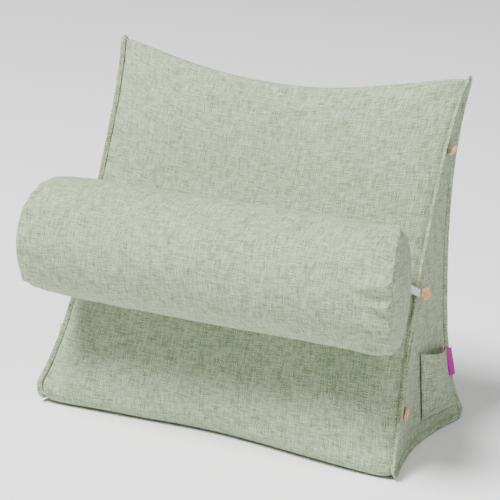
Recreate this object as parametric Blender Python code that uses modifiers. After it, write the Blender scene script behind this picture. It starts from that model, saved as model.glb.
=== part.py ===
"""Wedge back cushion with a button-on neck roll, a side pocket and a side label.

One filled solid is the wedge: a main panel wraps front, top, back and bottom, and a triangular
gusset closes each end. A narrow seam flange stands round each gusset. The neck roll leans on the
slope, and a tape from each of its ends goes to the middle button of three on each gusset.
X is the width, -Y the front and +Z up. The origin is under the middle of the whole cushion.
"""
import math

import bmesh
import bpy
from mathutils import Matrix, Vector
from mathutils.bvhtree import BVHTree

# Driving dimensions of the wedge, in metres
EAR_HALF_WIDTH = {           # half the width at the seam's corners, left (-1) and right (1)
    "front": {-1: 0.2150, 1: 0.2215},
    "back": {-1: 0.2250, 1: 0.2250},
    "top": {-1: 0.2105, 1: 0.2125},
}
WAIST_HALF_WIDTH = {-1: 0.2015, 1: 0.2025}   # where the front and back seams draw in
BASE_HALF_WIDTH = {-1: 0.2060, 1: 0.2090}    # at the middle of the bottom seams
HEIGHT = 0.390
DEPTH = 0.184
TOP_SAG = 0.025              # how far the top edge dips between its corners
FRONT_Y = -0.0665            # where the slope would meet the floor

# Corner radii of the wedge's side outline, at the seams and in the middle
FRONT_EAR_RADIUS = {-1: 0.015, 1: 0.008}
BACK_EAR_RADIUS = 0.007
BACK_EAR_Y = 0.1695           # the back bottom corner's centre, behind FRONT_Y
TOP_EAR_RADIUS = 0.0045
FRONT_RADIUS = 0.014
BACK_RADIUS = 0.014
TOP_RADIUS = 0.014
FRONT_EAR_Y = {-1: 0.0055, 1: -0.0075}   # the front corner's centre, behind FRONT_Y
FRONT_MIDDLE_Y = 0.0130
TOP_EAR_Y = 0.1865           # the top corner's centre, behind FRONT_Y
TOP_MIDDLE_Y = 0.172

# Fullness of the panels
FRONT_SEAM_CROWN = 0.005
FRONT_SEAM_HOLLOW = 0.025    # how deep the front seam runs behind its forward-turned bottom corner
FRONT_CROWN = 0.009
BACK_SEAM_DRAW = -0.018
BACK_CROWN = 0.005
GUSSET_CROWN = {-1: 0.0025, 1: -0.0015}
SEAM_LIFT = {-1: 0.0050, 1: 0.0046}   # how high the bottom seam stands over the floor

# Neck roll
ROLL_RADIUS = 0.067
ROLL_Y = FRONT_Y + 0.004
ROLL_Z = 0.2035
ROLL_SEAM_X = {-1: 0.2065, 1: 0.2145}    # from the middle to each end's seam
ROLL_END_SKEW = {-1: 0.005, 1: 0.0165}   # how much further an end reaches at its front
ROLL_END_CROWN = 0.010
ROLL_SEAM_RADIUS = 0.0650
PUCKER_DEPTH = 0.0012

# Seam flanges, pocket, label, tape and buttons
FLANGE_WIDTH = 0.0028
FLANGE_THICKNESS = 0.0020
FLANGE_ROOT_GAP = 0.0015
FLANGE_WAVE = 0.0006
POCKET_THICKNESS = 0.002
POCKET_GAP = 0.0010
POCKET_BULGE = 0.0105
LABEL_THICKNESS = 0.0012
TAPE_WIDTH = 0.008
TAPE_THICKNESS = 0.001
BUTTON_RADIUS = 0.0075
BUTTON_THICKNESS = 0.004
GAP = 0.0004                 # between pieces that touch
PRESS_GAP = 0.0009           # between the roll and the hollow that it presses into the slope

# Steps of the meshes
SIDE_STEPS = {"bottom": 10, "back": 20, "front": 24}
ARC_STEPS = 7
ROLL_STEPS = 52

GREEN = (0.455, 0.500, 0.405, 1.0)
WOOD = (0.86, 0.58, 0.37, 1.0)
WHITE = (0.87, 0.87, 0.92, 1.0)
MAGENTA = (0.50, 0.02, 0.36, 1.0)


def clear_scene():
    for thing in list(bpy.data.objects):
        bpy.data.objects.remove(thing, do_unlink=True)


def make_material(name, colour, roughness):
    material = bpy.data.materials.new(name)
    material.use_nodes = True
    shader = material.node_tree.nodes["Principled BSDF"]
    shader.inputs["Base Color"].default_value = colour
    shader.inputs["Roughness"].default_value = roughness
    shader.inputs["Metallic"].default_value = 0.0
    return material


def add_object(name, bm, material, collection):
    """Turn a bmesh into a named, smooth object with its faces pointing out."""
    bmesh.ops.recalc_face_normals(bm, faces=bm.faces[:])
    if bm.calc_volume(signed=True) < 0:
        bmesh.ops.reverse_faces(bm, faces=bm.faces[:])
    mesh = bpy.data.meshes.new(name)
    bm.to_mesh(mesh)
    bm.free()
    mesh.shade_smooth()
    mesh.materials.append(material)
    thing = bpy.data.objects.new(name, mesh)
    collection.objects.link(thing)
    return thing


def add_thickness(thing, thickness):
    """Give an open sheet its cloth thickness, half to each side."""
    solidify = thing.modifiers.new("Cloth thickness", "SOLIDIFY")
    solidify.thickness = thickness
    solidify.offset = 0.0
    solidify.use_even_offset = True


def shaped_sphere(rings, around, place):
    """A UV sphere whose vertices are moved to place(ring, step), ring 0 and the last being poles."""
    bm = bmesh.new()
    bmesh.ops.create_uvsphere(bm, u_segments=around, v_segments=rings - 1, radius=1.0)
    for vert in bm.verts:
        polar = math.acos(max(-1.0, min(1.0, vert.co.z)))
        ring = round(polar / math.pi * (rings - 1))
        step = round(math.atan2(vert.co.y, vert.co.x) / math.tau * around) % around
        vert.co = place(ring, step)
    return bm


def blend(start, end, amount):
    return start + (end - start) * amount


def corner_circles(u):
    """Centre y, centre z and radius of the side outline's three rounded corners at width u."""
    side = 1 if u >= 0 else -1
    near_seam = abs(u) ** 4
    lift = SEAM_LIFT[side] * max(0.0, (abs(u) - 0.9) / 0.1) ** 2
    front_r = blend(FRONT_RADIUS, FRONT_EAR_RADIUS[side], near_seam)
    back_r = blend(BACK_RADIUS, BACK_EAR_RADIUS, near_seam)
    top_r = blend(TOP_RADIUS, TOP_EAR_RADIUS, near_seam)
    top_z = HEIGHT - TOP_SAG * (1 - u * u) ** 1.35
    top_y = blend(TOP_MIDDLE_Y, TOP_EAR_Y, abs(u) ** 3)
    front_y = blend(FRONT_MIDDLE_Y, FRONT_EAR_Y[side], u * u * (3 - 2 * abs(u)))
    back_y = blend(DEPTH - BACK_RADIUS, BACK_EAR_Y, u * u)
    return {
        "front": (FRONT_Y + front_y, front_r + lift, front_r),
        "back": (FRONT_Y + back_y, back_r + lift, back_r),
        "top": (FRONT_Y + top_y, top_z - top_r, top_r),
    }


def side_crown(side, t, u):
    """How far a panel stands out from the straight line between two corners."""
    fullness = (1 - abs(u) ** 8) ** 0.75
    if side == "front":
        swell = (4 * t * (1 - t)) ** 0.75
        seam = FRONT_SEAM_CROWN * swell - FRONT_SEAM_HOLLOW * (t - t ** 8)
        return blend(seam, FRONT_CROWN * swell, fullness)
    if side == "back":
        fullness = (1 - abs(u) ** 4) ** 0.7
        draw = math.sin(math.pi * t ** 1.3) ** 1.6 if 0 < t < 1 else 0.0
        return blend(BACK_SEAM_DRAW, BACK_CROWN, fullness) * draw
    return 0.0


def side_half_width(side, start, end, t, hand):
    """Half the width along a side of the outline: waisted, with an ear at each end."""
    away = abs(2 * t - 1)
    ear = EAR_HALF_WIDTH[start if t < 0.5 else end][hand]
    if side == "bottom":
        return blend(BASE_HALF_WIDTH[hand], ear, away ** 1.8)
    sharpness = 2.2 if side == "front" and t > 0.5 else 4.5
    return blend(WAIST_HALF_WIDTH[hand], ear, away ** sharpness)


def press_of_roll(y, z):
    """Keep the slope clear of the roll that is pressed into it."""
    away = Vector((y - ROLL_Y, z - ROLL_Z))
    reach = ROLL_RADIUS + PRESS_GAP
    if away.length < reach:
        away = away.normalized() * reach
    return ROLL_Y + away.x, ROLL_Z + away.y


def outline(u):
    """The wedge's closed side outline at width u: rows of half width, y, z and outward normal."""
    hand = 1 if u >= 0 else -1
    circles = corner_circles(u)
    order = [("bottom", "front", "back"), ("back", "back", "top"), ("front", "top", "front")]
    normals = []
    for _, start, end in order:
        y0, z0, r0 = circles[start]
        y1, z1, r1 = circles[end]
        along = Vector((y1 - y0, z1 - z0))
        lean = (r0 - r1) / along.length
        along.normalize()
        outward = Vector((along.y, -along.x))
        normals.append(along * lean + outward * math.sqrt(1 - lean * lean))
    rows = []
    for index, (side, start, end) in enumerate(order):
        normal = normals[index]
        y0, z0, r0 = circles[start]
        y1, z1, r1 = circles[end]
        first = Vector((y0, z0)) + normal * r0
        last = Vector((y1, z1)) + normal * r1
        for step in range(SIDE_STEPS[side]):
            t = step / SIDE_STEPS[side]
            point = first.lerp(last, t) + normal * side_crown(side, t, u)
            y, z = press_of_roll(point.x, point.y)
            rows.append((side_half_width(side, start, end, t, hand), y, z, normal))
        turn_start = math.atan2(normal.y, normal.x)
        following = normals[(index + 1) % len(normals)]
        turn = (math.atan2(following.y, following.x) - turn_start) % math.tau
        ear = EAR_HALF_WIDTH[end][hand]
        for step in range(ARC_STEPS):
            angle = turn_start + turn * step / ARC_STEPS
            facing = Vector((math.cos(angle), math.sin(angle)))
            rows.append((ear, y1 + r1 * facing.x, z1 + r1 * facing.y, facing))
    return rows


STATIONS = [1.0, 0.985, 0.95, 0.88, 0.77, 0.63, 0.48, 0.32, 0.16]
STATIONS = STATIONS + [0.0] + [-u for u in reversed(STATIONS)]
GUSSET_SCALES = [0.3, 0.6, 0.84, 0.96]
GUSSET_CENTRE = Vector((FRONT_Y + 0.088, 0.138))


def make_wedge(material, collection):
    around = len(outline(1.0))
    gusset = len(GUSSET_SCALES)
    rings = 2 + 2 * gusset + len(STATIONS)
    outlines = [outline(u) for u in STATIONS]

    def gusset_point(side, scale, step):
        rows = outlines[0] if side > 0 else outlines[-1]
        half, y, z, _ = rows[step]
        middle = WAIST_HALF_WIDTH[side] + GUSSET_CROWN[side]
        sharpness = 1 + 0.7 * (y - FRONT_Y) / DEPTH + 5 * z / HEIGHT
        x = side * blend(middle, half, scale ** sharpness)
        flat = GUSSET_CENTRE.lerp(Vector((y, z)), scale)
        return Vector((x, flat.x, flat.y))

    def place(ring, step):
        if ring <= gusset:
            return gusset_point(1, ([0.0] + GUSSET_SCALES)[ring], step)
        if ring >= rings - 1 - gusset:
            return gusset_point(-1, ([0.0] + GUSSET_SCALES)[rings - 1 - ring], step)
        station = ring - gusset - 1
        half, y, z, _ = outlines[station][step]
        return Vector((STATIONS[station] * half, y, z))

    return add_object("wedge_cushion", shaped_sphere(rings, around, place), material, collection)


def roll_end_x(side, radius_share, angle):
    """Where a roll's end seam lies: further out at the front, where the angle is pi."""
    return side * (ROLL_SEAM_X[side] - ROLL_END_SKEW[side] * math.cos(angle) * radius_share)


# Rings of the roll from an end's middle to its seam, then from the seam to the roll's middle
END_RINGS = [0.0, 0.3, 0.58, 0.8, 0.93]
BODY_RINGS = [0.0, 0.004, 0.011, 0.022, 0.04, 0.07, 0.11, 0.155]


def pucker(angle, inward):
    """Uneven gathers that start at the end seam and fade out along the roll."""
    waves = math.sin(13 * angle + 0.6) + 0.6 * math.sin(9 * angle + 2.0)
    fade = math.exp(-((inward - 0.008) / 0.012) ** 2)
    return -PUCKER_DEPTH * (0.5 + 0.5 * waves) * fade


def make_roll(material, collection):
    half = [("end", share) for share in END_RINGS] + [("body", inward) for inward in BODY_RINGS]
    table = [(1, kind, value) for kind, value in half]
    table += [(-1, kind, value) for kind, value in reversed(half)]

    def place(ring, step):
        side, kind, value = table[ring]
        angle = math.tau * step / ROLL_STEPS
        if kind == "end":
            radius = ROLL_SEAM_RADIUS * value
            x = roll_end_x(side, value, angle) + side * ROLL_END_CROWN * (1 - value ** 2.6)
        else:
            shoulder = 1 - math.exp(-value / 0.005)
            radius = blend(ROLL_SEAM_RADIUS, ROLL_RADIUS, shoulder) + pucker(angle, value)
            skew_left = max(0.0, 1 - value / 0.155) ** 2
            x = roll_end_x(side, skew_left, angle) - side * value
        return Vector((x, ROLL_Y + radius * math.cos(angle), ROLL_Z + radius * math.sin(angle)))

    bm = shaped_sphere(len(table), ROLL_STEPS, place)
    return add_object("neck_roll", bm, material, collection)


def flange_direction(side, normal):
    """Outwards from the seam: mostly sideways at the front, more backwards at the back."""
    sideways = 0.7 + 0.8 * max(0.0, -normal.x)
    return Vector((side * sideways, normal.x, normal.y)).normalized()


def make_flange(name, side, material, collection):
    """A ribbon round the gusset's seam, one loop at its root and one at its tip."""
    rows = outline(float(side))
    bm = bmesh.new()
    bmesh.ops.create_circle(bm, cap_ends=False, segments=len(rows), radius=1.0)
    roots = sorted(bm.verts, key=lambda vert: math.atan2(vert.co.y, vert.co.x) % math.tau)
    tips = {}
    made = bmesh.ops.extrude_edge_only(bm, edges=bm.edges[:])
    for vert in [item for item in made["geom"] if isinstance(item, bmesh.types.BMVert)]:
        tips[round(math.atan2(vert.co.y, vert.co.x) % math.tau / math.tau * len(rows)) % len(rows)] = vert
    for step, root in enumerate(roots):
        half, y, z, normal = rows[step]
        outward = flange_direction(side, normal)
        wave = FLANGE_WAVE * (math.sin(step * 1.7) + math.sin(step * 0.61 + 1.0)) / 2
        seam = Vector((side * half, y, z))
        root.co = seam + outward * FLANGE_ROOT_GAP
        tips[step].co = seam + outward * (FLANGE_ROOT_GAP + FLANGE_WIDTH + wave)
    thing = add_object(name, bm, material, collection)
    add_thickness(thing, FLANGE_THICKNESS)
    return thing


def gusset_surface(tree, side, y, z):
    """The point and outward normal of the gusset at a place given as y and z."""
    point, normal, _, _ = tree.ray_cast(Vector((side * 0.3, y, z)), Vector((-side, 0, 0)))
    return point, normal


def button_mesh(material):
    """A dished disc, turned from its half profile, with its face along +Z."""
    half = BUTTON_THICKNESS / 2
    round_edge = 0.0009
    dish_radius = BUTTON_RADIUS - 0.0024
    dish = 0.0009
    profile = [
        (0.0, half - dish),
        (dish_radius - dish, half - dish),
        (dish_radius, half),
        (BUTTON_RADIUS - round_edge, half),
        (BUTTON_RADIUS, half - round_edge),
        (BUTTON_RADIUS, round_edge - half),
        (BUTTON_RADIUS - round_edge, -half),
        (0.0, -half),
    ]
    mesh = bpy.data.meshes.new("button")
    bm = bmesh.new()
    corners = [bm.verts.new((x, 0.0, z)) for x, z in profile]
    for first, second in zip(corners, corners[1:]):
        bm.edges.new((first, second))
    bm.to_mesh(mesh)
    bm.free()
    mesh.materials.append(material)
    return mesh


# Side, name, y behind FRONT_Y, z, lean of the face (towards +Y, towards +Z) in degrees, stand-off
BUTTONS = [
    (1, "top", 0.1600, 0.3160, 4, -32, 0.0002),
    (1, "middle", 0.0915, 0.1740, -14, 16, 0.0043),
    (1, "bottom", 0.0375, 0.0555, 0, -4, 0.0006),
    (-1, "top", 0.1690, 0.3390, -30, -6, 0.0006),
    (-1, "middle", 0.0915, 0.1760, -12, 12, 0.0034),
    (-1, "bottom", 0.0385, 0.0735, -34, 4, 0.0001),
]


def make_buttons(tree, material, collection):
    mesh = button_mesh(material)
    for side, name, y, z, lean_y, lean_z, stand_off in BUTTONS:
        point, normal = gusset_surface(tree, side, FRONT_Y + y, z)
        facing = normal.copy()
        facing.rotate(Matrix.Rotation(math.radians(lean_y) * side, 3, "Z"))
        facing.rotate(Matrix.Rotation(-math.radians(lean_z) * side, 3, "Y"))
        tilt = facing.angle(normal)
        rise = BUTTON_RADIUS * math.sin(tilt) + BUTTON_THICKNESS / 2 * math.cos(tilt) + stand_off
        side_name = "right" if side > 0 else "left"
        thing = bpy.data.objects.new(f"button_{side_name}_{name}", mesh)
        thing.location = point + normal * rise
        thing.rotation_mode = "QUATERNION"
        thing.rotation_quaternion = facing.to_track_quat("Z", "Y")
        collection.objects.link(thing)
        screw = thing.modifiers.new("Turned", "SCREW")
        screw.steps = 24
        screw.render_steps = 24
        screw.use_merge_vertices = True
        screw.merge_threshold = 0.00001


def sheet_grid(columns, rows, place):
    """A grid whose vertices are moved to place(across, along), both from 0 to 1."""
    bm = bmesh.new()
    bmesh.ops.create_grid(bm, x_segments=columns, y_segments=rows, size=1.0)
    for vert in bm.verts:
        vert.co = place((vert.co.x + 1) / 2, (vert.co.y + 1) / 2)
    return bm


def through(points, share):
    """A smooth curve through a row of points, with share running from 0 to 1."""
    place = share * (len(points) - 1)
    index = min(int(place), len(points) - 2)
    t = place - index
    before, first, last, after = (points[max(0, min(len(points) - 1, index + k))] for k in (-1, 0, 1, 2))
    bend = (2 * before - 5 * first + 4 * last - after) * t * t
    return (2 * first + (last - before) * t + bend + (3 * (first - last) + after - before) * t ** 3) / 2


def make_tape(name, side, tree, material, collection):
    """A flat tape from the back of the roll's end seam, over the flange, to below the middle button."""
    button_y, button_z = next(
        (row[2], row[3]) for row in BUTTONS if row[0] == side and row[1] == "middle")
    clear = GAP + TAPE_THICKNESS / 2
    angle = math.radians(-15)
    back = Vector((0, math.cos(angle), math.sin(angle)))
    seam = Vector((roll_end_x(side, 1.0, angle), ROLL_Y, ROLL_Z)) + back * ROLL_SEAM_RADIUS
    start = seam + Vector((side * 0.4, 0, 0)) * clear + back * clear * 0.9

    crossing_z = button_z + 0.0085
    front = [row for row in outline(float(side)) if row[3].x < -0.85]
    half, y, z, normal = min(front, key=lambda row: abs(row[2] - crossing_z))
    outward = flange_direction(side, normal)
    over = Vector((side * half, y, z)) + outward * (FLANGE_ROOT_GAP + FLANGE_WIDTH + FLANGE_WAVE + clear)
    over += Vector((side * 0.0003, 0.0005, crossing_z - z))
    under, gusset_normal = gusset_surface(tree, side, FRONT_Y + button_y, button_z)
    down, down_normal = gusset_surface(tree, side, FRONT_Y + button_y + 0.0035, button_z - 0.0045)
    route = [start, over, under + gusset_normal * clear * 1.4, down + down_normal * clear * 1.4]

    def place(across, along):
        spread = Vector((0, -back.z, back.y)).lerp(Vector((0, 0.44, 0.9)), min(1.0, 3 * along)).normalized()
        wide = blend(0.85, 1.0, along) * TAPE_WIDTH
        return through(route, along) + spread * wide * (0.5 - across)

    thing = add_object(name, sheet_grid(4, 15, place), material, collection)
    add_thickness(thing, TAPE_THICKNESS)


# The pocket's corners on the right gusset: y behind FRONT_Y, z
POCKET_CORNERS = {
    "mouth_front": (0.0975, 0.1020),
    "mouth_back": (0.1680, 0.0860),
    "foot_front": (0.0975, 0.0230),
    "foot_back": (0.1690, 0.0185),
}


def make_pocket(tree, material, collection):
    corner = {name: Vector((FRONT_Y + y, z)) for name, (y, z) in POCKET_CORNERS.items()}

    def place(across, along):
        foot = corner["foot_front"].lerp(corner["foot_back"], across)
        mouth = corner["mouth_front"].lerp(corner["mouth_back"], across)
        flat = foot.lerp(mouth, along)
        dip = 0.003 * math.sin(math.pi * across) * along
        point, _ = gusset_surface(tree, 1, flat.x, flat.y - dip)
        bulge = POCKET_BULGE * math.sin(math.pi * across) ** 0.55 * math.sin(math.pi / 2 * along) ** 0.7
        return point + Vector((POCKET_GAP + POCKET_THICKNESS / 2 + bulge, 0, 0))

    thing = add_object("side_pocket", sheet_grid(16, 12, place), material, collection)
    add_thickness(thing, POCKET_THICKNESS)


# The label's path out of the back seam: sideways from the seam, backwards from the seam
LABEL_PATH = [
    (0.00135, -0.0026),
    (0.00260, -0.0009),
    (0.00510, 0.0031),
    (0.00480, 0.0066),
]
LABEL_LOW = 0.050
LABEL_HIGH = 0.082


def make_label(material, collection):
    """A folded label caught in the right back seam beside the pocket."""
    rows = [row for row in outline(1.0) if row[3].x > 0.9 and row[2] < HEIGHT / 2]
    path = [Vector((sideways, backwards, 0)) for sideways, backwards in LABEL_PATH]

    def place(across, along):
        z = blend(LABEL_LOW, LABEL_HIGH, along)
        above = next(index for index, row in enumerate(rows) if row[2] > z)
        low, high = rows[above - 1], rows[above]
        share = (z - low[2]) / (high[2] - low[2])
        seam = Vector((blend(low[0], high[0], share), blend(low[1], high[1], share), z))
        return seam + through(path, across)

    thing = add_object("side_label", sheet_grid(9, 4, place), material, collection)
    add_thickness(thing, LABEL_THICKNESS)


def main():
    clear_scene()
    collection = bpy.data.collections.new("wedge_back_cushion")
    bpy.context.scene.collection.children.link(collection)
    cloth = make_material("green_cloth", GREEN, 0.92)
    roll_cloth = make_material("roll_cloth", GREEN, 0.92)
    flange_cloth = make_material("flange_cloth", GREEN, 0.92)
    pocket_cloth = make_material("pocket_cloth", GREEN, 0.92)
    wood = make_material("pale_wood", WOOD, 0.55)
    tape = make_material("white_tape", WHITE, 0.8)
    label = make_material("magenta_label", MAGENTA, 0.6)

    wedge = make_wedge(cloth, collection)
    make_roll(roll_cloth, collection)
    for side, side_name in ((-1, "left"), (1, "right")):
        make_flange(f"seam_flange_{side_name}", side, flange_cloth, collection)

    surface = bmesh.new()
    surface.from_mesh(wedge.data)
    tree = BVHTree.FromBMesh(surface)
    surface.free()
    make_buttons(tree, wood, collection)
    for side, side_name in ((-1, "left"), (1, "right")):
        make_tape(f"tape_{side_name}", side, tree, tape, collection)
    make_pocket(tree, pocket_cloth, collection)
    make_label(label, collection)


main()
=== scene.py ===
# %% [markdown]
# # Wedge back cushion with a button-on neck roll
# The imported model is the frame: real sizes in metres, X across, -Y to the front and Z up. Every solid
# of it is replaced here by a finer mesh. The wedge and the roll are also filled by simulation.

# %% Load the frame
import math

import bmesh
import bpy
import numpy as np
from mathutils import Matrix, Vector, noise
from mathutils.bvhtree import BVHTree


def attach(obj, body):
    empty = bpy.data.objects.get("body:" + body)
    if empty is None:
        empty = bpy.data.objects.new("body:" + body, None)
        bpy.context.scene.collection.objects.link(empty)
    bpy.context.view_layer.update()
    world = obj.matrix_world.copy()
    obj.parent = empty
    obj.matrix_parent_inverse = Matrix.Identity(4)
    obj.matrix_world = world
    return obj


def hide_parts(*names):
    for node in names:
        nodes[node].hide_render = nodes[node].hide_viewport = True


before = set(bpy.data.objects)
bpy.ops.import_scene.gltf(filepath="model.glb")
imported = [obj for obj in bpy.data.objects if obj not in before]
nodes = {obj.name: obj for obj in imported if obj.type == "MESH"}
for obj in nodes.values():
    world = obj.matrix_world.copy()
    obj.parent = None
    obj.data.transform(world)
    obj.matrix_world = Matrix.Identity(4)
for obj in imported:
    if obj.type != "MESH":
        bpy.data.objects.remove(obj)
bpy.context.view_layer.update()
print("frame nodes:", len(nodes))

# %% [markdown]
# ## Sizes
# These are the sewing pattern's sizes.

# %% Sizes of the wedge
EAR_HALF_WIDTH = {
    "front": {-1: 0.2150, 1: 0.2215},
    "back": {-1: 0.2250, 1: 0.2250},
    "top": {-1: 0.2105, 1: 0.2125},
}
WAIST_HALF_WIDTH = {-1: 0.2015, 1: 0.2025}
BASE_HALF_WIDTH = {-1: 0.2060, 1: 0.2090}
HEIGHT = 0.390
DEPTH = 0.184
TOP_SAG = 0.025
FRONT_Y = -0.0665
FRONT_EAR_RADIUS = {-1: 0.015, 1: 0.008}
BACK_EAR_RADIUS = 0.007
BACK_EAR_Y = 0.1695
TOP_EAR_RADIUS = 0.0045
FRONT_RADIUS = 0.014
BACK_RADIUS = 0.014
TOP_RADIUS = 0.014
FRONT_EAR_Y = {-1: 0.0055, 1: -0.0075}
FRONT_MIDDLE_Y = 0.0130
TOP_EAR_Y = 0.1865
TOP_MIDDLE_Y = 0.172
FRONT_SEAM_CROWN = 0.005
FRONT_SEAM_HOLLOW = 0.025
FRONT_CROWN = 0.009
BACK_SEAM_DRAW = -0.018
BACK_CROWN = 0.005
GUSSET_CROWN = {-1: 0.0025, 1: -0.0015}
SEAM_LIFT = {-1: 0.0050, 1: 0.0046}

# %% Sizes of the roll and the trims
ROLL_RADIUS = 0.067
ROLL_Y = FRONT_Y + 0.004
ROLL_Z = 0.2035
ROLL_SEAM_X = {-1: 0.2065, 1: 0.2145}
ROLL_END_SKEW = {-1: 0.005, 1: 0.0165}
ROLL_END_CROWN = 0.010
ROLL_SEAM_RADIUS = 0.0650
PRESS_GAP = 0.0009
FLANGE_WIDTH = 0.0028
FLANGE_ROOT_GAP = 0.0015
print("wedge:", 2 * EAR_HALF_WIDTH["back"][1], "x", DEPTH, "x", HEIGHT, "m")
print("roll:", 2 * ROLL_RADIUS, "m thick")

# %% [markdown]
# ## Camera, light and floor
# A studio shot has one large soft light, here high at the front left, a weak one at the right, and pale
# walls that fill the shadows, for which a plain white world stands.
# The camera stands to the right of the front and looks down a little.

# %% Camera
CAMERA_AZIMUTH = math.radians(26.16)
CAMERA_ELEVATION = math.radians(18.5)
CAMERA_ROLL = math.radians(0.667)
CAMERA_DISTANCE = 2.101
CAMERA_TARGET = Vector((0.006, 0.0135, 0.194))
SENSOR_WIDTH = 36.0
FOCAL_PIXELS = 1900.0
IMAGE_WIDTH = 500.0


def make_camera():
    across = Vector((math.cos(CAMERA_AZIMUTH), math.sin(CAMERA_AZIMUTH), 0.0))
    back = Vector((
        math.sin(CAMERA_AZIMUTH) * math.cos(CAMERA_ELEVATION),
        -math.cos(CAMERA_AZIMUTH) * math.cos(CAMERA_ELEVATION),
        math.sin(CAMERA_ELEVATION),
    ))
    up = back.cross(across)
    right = across * math.cos(CAMERA_ROLL) + up * math.sin(CAMERA_ROLL)
    upright = up * math.cos(CAMERA_ROLL) - across * math.sin(CAMERA_ROLL)
    turned = Matrix((right, upright, back)).transposed()
    data = bpy.data.cameras.new("camera")
    data.sensor_width = SENSOR_WIDTH
    data.lens = FOCAL_PIXELS * SENSOR_WIDTH / IMAGE_WIDTH
    camera = bpy.data.objects.new("camera", data)
    camera.matrix_world = Matrix.Translation(CAMERA_TARGET + back * CAMERA_DISTANCE) @ turned.to_4x4()
    bpy.context.scene.collection.objects.link(camera)
    bpy.context.scene.camera = camera
    return camera


camera = make_camera()
print("camera at", [round(value, 3) for value in camera.location])


# %% Lights and world
def area_light(name, place, aim, size, power):
    data = bpy.data.lights.new(name, "AREA")
    data.shape = "DISK"
    data.size = size
    data.energy = power
    light = bpy.data.objects.new(name, data)
    light.location = place
    light.rotation_mode = "QUATERNION"
    light.rotation_quaternion = (Vector(aim) - Vector(place)).to_track_quat("-Z", "Y")
    bpy.context.scene.collection.objects.link(light)


KEY_LIGHT = {"place": (-1.3, -1.8, 4.3), "aim": (0.0, 0.0, 0.16), "size": 2.0, "power": 520.0}
FILL_LIGHT = {"place": (1.7, -0.9, 2.4), "aim": (0.0, 0.0, 0.30), "size": 1.4, "power": 32.0}
WORLD_STRENGTH = 0.30


def make_lights():
    area_light("key", **KEY_LIGHT)
    area_light("fill", **FILL_LIGHT)
    world = bpy.data.worlds.new("studio")
    world.use_nodes = True
    background = world.node_tree.nodes["Background"]
    background.inputs["Color"].default_value = (1.0, 1.0, 1.0, 1.0)
    background.inputs["Strength"].default_value = WORLD_STRENGTH
    bpy.context.scene.world = world


make_lights()


# %% [markdown]
# ## Small tools for nodes and meshes

# %% Node helpers
def new_nodes(tree):
    """Two short functions that add a node and join two sockets of this tree."""
    def add(kind, **settings):
        node = tree.nodes.new(kind)
        inputs = settings.pop("inputs", {})
        for key, value in settings.items():
            setattr(node, key, value)
        for key, value in inputs.items():
            node.inputs[key].default_value = value
        return node

    def join(source, target):
        tree.links.new(source, target)

    return add, join


def new_material(name):
    material = bpy.data.materials.new(name)
    material.use_nodes = True
    return material, material.node_tree.nodes["Principled BSDF"]


def math_node(add, join, operation, first, second=None):
    """A Math node whose inputs are sockets or numbers; returns its output."""
    node = add("ShaderNodeMath", operation=operation)
    for index, value in enumerate((first, second)):
        if value is None:
            continue
        if isinstance(value, (int, float)):
            node.inputs[index].default_value = value
        else:
            join(value, node.inputs[index])
    return node.outputs[0]


# %% Mesh helpers
def new_piece(name, verts, faces, uvs, material):
    """A smooth mesh with its cloth coordinates, in metres, in the UV map named weave."""
    mesh = bpy.data.meshes.new(name)
    mesh.from_pydata([tuple(point) for point in verts], [], faces)
    layer = mesh.uv_layers.new(name="weave")
    layer.data.foreach_set("uv", np.array(uvs, np.float32).ravel())
    mesh.shade_smooth()
    mesh.materials.append(material)
    piece = bpy.data.objects.new(name, mesh)
    bpy.context.scene.collection.objects.link(piece)
    return piece


def sheet_piece(name, columns, rows, place, flat, material):
    """An open sheet: place(across, along) gives its points and flat its cut size."""
    verts = [place(i / columns, j / rows) for j in range(rows + 1) for i in range(columns + 1)]
    faces, uvs = [], []
    for j in range(rows):
        for i in range(columns):
            corners = [(i, j), (i + 1, j), (i + 1, j + 1), (i, j + 1)]
            faces.append([b * (columns + 1) + a for a, b in corners])
            uvs += [(a / columns * flat[0], b / rows * flat[1]) for a, b in corners]
    return new_piece(name, verts, faces, uvs, material)


def face_out(piece):
    """Turn every face of a closed mesh outwards; returns its volume in cubic metres."""
    bm = bmesh.new()
    bm.from_mesh(piece.data)
    bmesh.ops.recalc_face_normals(bm, faces=bm.faces[:])
    volume = bm.calc_volume(signed=True)
    if volume < 0:
        bmesh.ops.reverse_faces(bm, faces=bm.faces[:])
    bm.to_mesh(piece.data)
    bm.free()
    return abs(volume)


def ring_faces(outer, inner):
    """Quads between two closed rings of point numbers."""
    count = len(outer)
    return [[outer[k], inner[k], inner[(k + 1) % count], outer[(k + 1) % count]] for k in range(count)]


def fan_faces(ring, centre):
    count = len(ring)
    return [[ring[k], centre, ring[(k + 1) % count]] for k in range(count)]


def thicken(piece, thickness, levels=1):
    solid = piece.modifiers.new("Cloth thickness", "SOLIDIFY")
    solid.thickness = thickness
    solid.offset = 0.0
    smooth = piece.modifiers.new("Smooth", "SUBSURF")
    smooth.levels = levels
    smooth.render_levels = levels


def blend(start, end, amount):
    return start + (end - start) * amount


def bump(distance, width):
    return math.exp(-(distance / width) ** 2)


def through(points, share):
    """A smooth curve through a row of points, with share running from 0 to 1."""
    place = share * (len(points) - 1)
    index = min(int(place), len(points) - 2)
    t = place - index
    before, first, last, after = (points[max(0, min(len(points) - 1, index + k))] for k in (-1, 0, 1, 2))
    bend = (2 * before - 5 * first + 4 * last - after) * t * t
    return (2 * first + (last - before) * t + bend + (3 * (first - last) + after - before) * t ** 3) / 2


print("helpers ready")

# %% [markdown]
# ## The cloth
# A linen-look plain weave, probably of slubby polyester: pale and green threads of uneven thickness cross over
# and under each other. One node group makes it for every green piece, from coordinates in metres.

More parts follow.
